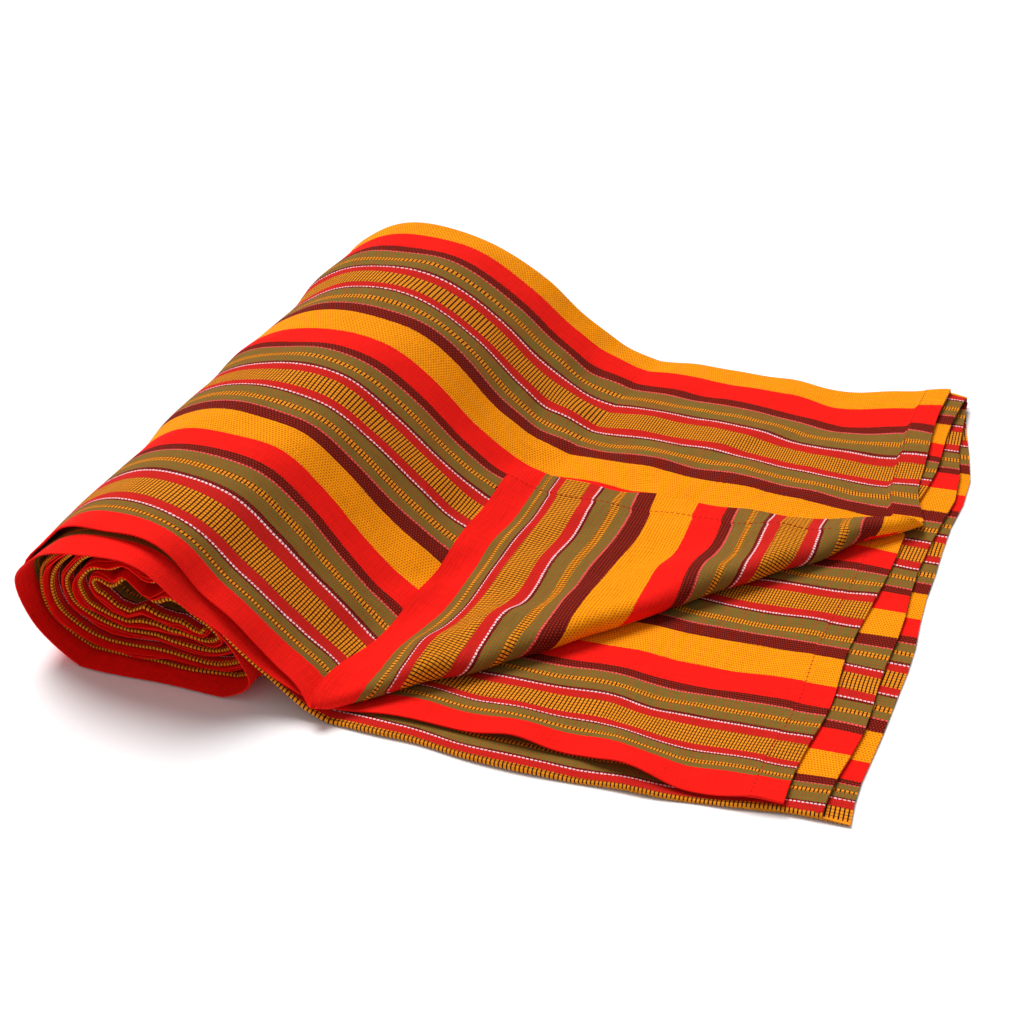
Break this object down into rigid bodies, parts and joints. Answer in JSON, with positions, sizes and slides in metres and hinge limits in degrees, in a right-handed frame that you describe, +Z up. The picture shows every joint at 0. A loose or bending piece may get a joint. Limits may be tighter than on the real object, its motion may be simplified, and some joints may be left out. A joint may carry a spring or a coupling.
{
  "type": "folded and rolled striped shawl blanket",
  "caption": "Striped and checked cotton shawl blanket, folded lengthwise in four and rolled up from one end, with one corner turned back.",
  "frame": {"origin": "middle of the underside, on the surface that the blanket rests on", "axes": "+X along the folded band from the roll towards the flat end, -Y towards the front edge with the free selvages, +Z up"},
  "size_m": [0.43, 0.3878, 0.085],
  "materials": {
    "woven_cotton": "yarn-dyed plain-weave cotton in red, yellow, maroon and olive stripes with small orange and black checks, matt"
  },
  "bodies": {
    "root": {"blanket": "woven_cotton"}
  },
  "joints": []
}
